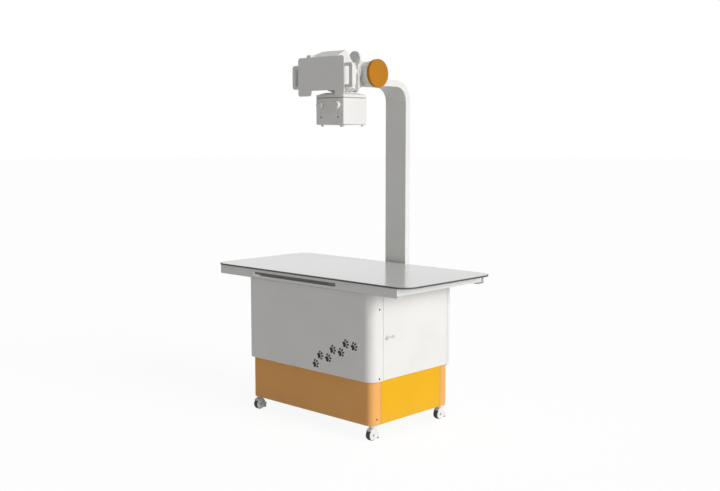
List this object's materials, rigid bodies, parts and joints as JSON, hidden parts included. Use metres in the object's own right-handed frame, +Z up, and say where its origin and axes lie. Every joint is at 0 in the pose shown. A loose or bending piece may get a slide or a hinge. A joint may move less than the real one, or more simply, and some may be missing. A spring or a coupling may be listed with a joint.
{
  "type": "veterinary x-ray table",
  "caption": "Mobile x-ray table with floating top, detector tray, lockable cabinet on swivel casters, rear column and tilting tube head with collimator.",
  "frame": {"origin": "on the floor under the middle of the whole machine's outline, with the top and the head as in the picture", "axes": "+X along the tabletop to the door end, +Y from the tray mouth to the column, +Z up"},
  "size_m": [1.3, 0.683, 1.7808],
  "materials": {
    "white_paint": "smooth white powder coat, satin",
    "orange_paint": "orange-yellow powder coat, satin",
    "orange_cap": "orange moulded cap, satin",
    "frame_paint": "grey powder coat",
    "bright_steel": "ground steel",
    "zinc_steel": "zinc plated steel",
    "bare_aluminium": "mill finish",
    "screw_black": "black oxide",
    "top_panel": "glossy off-white laminate",
    "top_edge": "dark grey edge strip",
    "tray_paint": "dark grey powder coat",
    "detector_black": "matt black carbon plate",
    "head_white": "satin white moulding",
    "cover_white": "white powder coat on aluminium",
    "handle_white": "satin white moulding",
    "cast_white": "white powder coat on cast aluminium",
    "window_clear": "clear window",
    "shutter_lead": "dull grey lead-lined plate",
    "knob_white": "satin white moulding",
    "latch_chrome": "polished chrome",
    "inlet_black": "black socket",
    "fork_white": "light grey-white moulding",
    "wheel_grey": "dark grey tread",
    "pedal_grey": "dark grey moulding"
  },
  "bodies": {
    "cart": {"chassis_frame": "frame_paint", "cabinet_front_wrap": "white_paint", "cabinet_rear_wrap": "white_paint", "side_panel_left": "white_paint", "plinth_front_wrap": "orange_paint", "plinth_rear_wrap": "orange_paint", "plinth_sides": "orange_paint", "panel_screws": "screw_black", "top_deck": "frame_paint", "guide_rails": "bright_steel", "shelf": "frame_paint", "generator_box": "frame_paint", "hinge_brackets": "frame_paint", "power_inlet": "inlet_black", "caster_plates": "zinc_steel", "column": "white_paint", "column_brackets": "white_paint", "hub_casting_left": "cast_white", "hub_casting_right": "cast_white", "hub_cap_left": "orange_cap", "hub_cap_right": "orange_cap"},
    "table": {"tabletop": "top_panel", "tabletop_edge": "top_edge", "rail_front": "white_paint", "rail_rear": "white_paint", "end_plates": "white_paint", "cross_bars": "bare_aluminium", "slide_blocks": "bright_steel", "tray_guides": "bare_aluminium"},
    "tray": {"detector_tray": "tray_paint", "detector_panel": "detector_black"},
    "door": {"side_door": "white_paint"},
    "latch": {"latch_lever": "latch_chrome"},
    "tilt_arm": {"tilt_bracket": "cast_white"},
    "head": {"tube_tank": "cast_white", "tube_housing": "head_white", "front_cover": "cover_white", "handle_left": "handle_white", "handle_right": "handle_white"},
    "collimator": {"collimator_body": "white_paint", "collimator_lid": "head_white", "collimator_window": "window_clear"},
    "left_knob": {"knob_left": "knob_white"},
    "right_knob": {"knob_right": "knob_white"},
    "left_shutter": {"shutter_left": "shutter_lead"},
    "right_shutter": {"shutter_right": "shutter_lead"},
    "front_shutter": {"shutter_front": "shutter_lead"},
    "rear_shutter": {"shutter_rear": "shutter_lead"},
    "fork_front_left_body": {"fork_front_left": "fork_white"},
    "wheel_front_left_body": {"wheel_front_left": "wheel_grey"},
    "brake_front_left_body": {"brake_front_left": "pedal_grey"},
    "fork_front_right_body": {"fork_front_right": "fork_white"},
    "wheel_front_right_body": {"wheel_front_right": "wheel_grey"},
    "brake_front_right_body": {"brake_front_right": "pedal_grey"},
    "fork_rear_left_body": {"fork_rear_left": "fork_white"},
    "wheel_rear_left_body": {"wheel_rear_left": "wheel_grey"},
    "brake_rear_left_body": {"brake_rear_left": "pedal_grey"},
    "fork_rear_right_body": {"fork_rear_right": "fork_white"},
    "wheel_rear_right_body": {"wheel_rear_right": "wheel_grey"},
    "brake_rear_right_body": {"brake_rear_right": "pedal_grey"}
  },
  "joints": [
    {"name": "table_slide", "type": "slide", "parent": "cart", "child": "table", "axis": [1, 0, 0], "range_m": [-0.159, 0.181]},
    {"name": "tray_slide", "type": "slide", "parent": "table", "child": "tray", "axis": [0, -1, 0], "range_m": [0, 0.4]},
    {"name": "door_hinge", "type": "hinge", "parent": "cart", "child": "door", "pos_m": [0.432, 0.1995, 0.474], "axis": [0, 0, 1], "range_deg": [0, 100]},
    {"name": "latch_turn", "type": "hinge", "parent": "door", "child": "latch", "pos_m": [0.4385, -0.2265, 0.47], "axis": [1, 0, 0], "range_deg": [0, 90]},
    {"name": "head_tilt", "type": "hinge", "parent": "cart", "child": "tilt_arm", "pos_m": [0.011, 0.0905, 1.675], "axis": [1, 0, 0], "range_deg": [-90, 45]},
    {"name": "head_roll", "type": "hinge", "parent": "tilt_arm", "child": "head", "pos_m": [0.011, 0.0115, 1.681], "axis": [0, 1, 0], "range_deg": [-90, 90]},
    {"name": "collimator_turn", "type": "hinge", "parent": "head", "child": "collimator", "pos_m": [0.011, -0.083, 1.575], "axis": [0, 0, 1], "range_deg": [-45, 45]},
    {"name": "knob_left_turn", "type": "hinge", "parent": "collimator", "child": "left_knob", "pos_m": [-0.046, -0.1645, 1.518], "axis": [0, 1, 0], "range_deg": [-90, 90]},
    {"name": "knob_right_turn", "type": "hinge", "parent": "collimator", "child": "right_knob", "pos_m": [0.068, -0.1645, 1.518], "axis": [0, 1, 0], "range_deg": [-90, 90]},
    {"name": "shutter_left_slide", "type": "slide", "parent": "collimator", "child": "left_shutter", "axis": [-1, 0, 0], "range_m": [-0.0214, 0.0214]},
    {"name": "shutter_right_slide", "type": "slide", "parent": "collimator", "child": "right_shutter", "axis": [1, 0, 0], "range_m": [-0.0216, 0.0216]},
    {"name": "shutter_front_slide", "type": "slide", "parent": "collimator", "child": "front_shutter", "axis": [0, -1, 0], "range_m": [-0.0179, 0.0179]},
    {"name": "shutter_rear_slide", "type": "slide", "parent": "collimator", "child": "rear_shutter", "axis": [0, 1, 0], "range_m": [-0.0181, 0.0181]},
    {"name": "swivel_front_left", "type": "hinge", "parent": "cart", "child": "fork_front_left_body", "pos_m": [-0.3766, -0.2752, 0.062], "axis": [0, 0, 1], "continuous": true},
    {"name": "spin_front_left", "type": "hinge", "parent": "fork_front_left_body", "child": "wheel_front_left_body", "pos_m": [-0.3766, -0.2859, 0.026], "axis": [1, 0, 0], "continuous": true},
    {"name": "press_front_left", "type": "hinge", "parent": "fork_front_left_body", "child": "brake_front_left_body", "pos_m": [-0.3766, -0.2544, 0.024], "axis": [-1, 0, 0], "range_deg": [0, 12]},
    {"name": "swivel_front_right", "type": "hinge", "parent": "cart", "child": "fork_front_right_body", "pos_m": [0.3986, -0.2752, 0.062], "axis": [0, 0, 1], "continuous": true},
    {"name": "spin_front_right", "type": "hinge", "parent": "fork_front_right_body", "child": "wheel_front_right_body", "pos_m": [0.3986, -0.2859, 0.026], "axis": [1, 0, 0], "continuous": true},
    {"name": "press_front_right", "type": "hinge", "parent": "fork_front_right_body", "child": "brake_front_right_body", "pos_m": [0.3986, -0.2544, 0.024], "axis": [-1, 0, 0], "range_deg": [0, 12]},
    {"name": "swivel_rear_left", "type": "hinge", "parent": "cart", "child": "fork_rear_left_body", "pos_m": [-0.3766, 0.2062, 0.062], "axis": [0, 0, 1], "continuous": true},
    {"name": "spin_rear_left", "type": "hinge", "parent": "fork_rear_left_body", "child": "wheel_rear_left_body", "pos_m": [-0.3766, 0.1955, 0.026], "axis": [1, 0, 0], "continuous": true},
    {"name": "press_rear_left", "type": "hinge", "parent": "fork_rear_left_body", "child": "brake_rear_left_body", "pos_m": [-0.3766, 0.227, 0.024], "axis": [-1, 0, 0], "range_deg": [0, 12]},
    {"name": "swivel_rear_right", "type": "hinge", "parent": "cart", "child": "fork_rear_right_body", "pos_m": [0.3986, 0.2062, 0.062], "axis": [0, 0, 1], "continuous": true},
    {"name": "spin_rear_right", "type": "hinge", "parent": "fork_rear_right_body", "child": "wheel_rear_right_body", "pos_m": [0.3986, 0.1955, 0.026], "axis": [1, 0, 0], "continuous": true},
    {"name": "press_rear_right", "type": "hinge", "parent": "fork_rear_right_body", "child": "brake_rear_right_body", "pos_m": [0.3986, 0.227, 0.024], "axis": [-1, 0, 0], "range_deg": [0, 12]}
  ],
  "couplings": [
    {"joint": "knob_left_turn", "follows": "shutter_left_slide", "rad_per_m": 73.1},
    {"joint": "shutter_right_slide", "follows": "shutter_left_slide", "ratio": 1},
    {"joint": "knob_right_turn", "follows": "shutter_front_slide", "rad_per_m": 87.26},
    {"joint": "shutter_rear_slide", "follows": "shutter_front_slide", "ratio": 1}
  ]
}
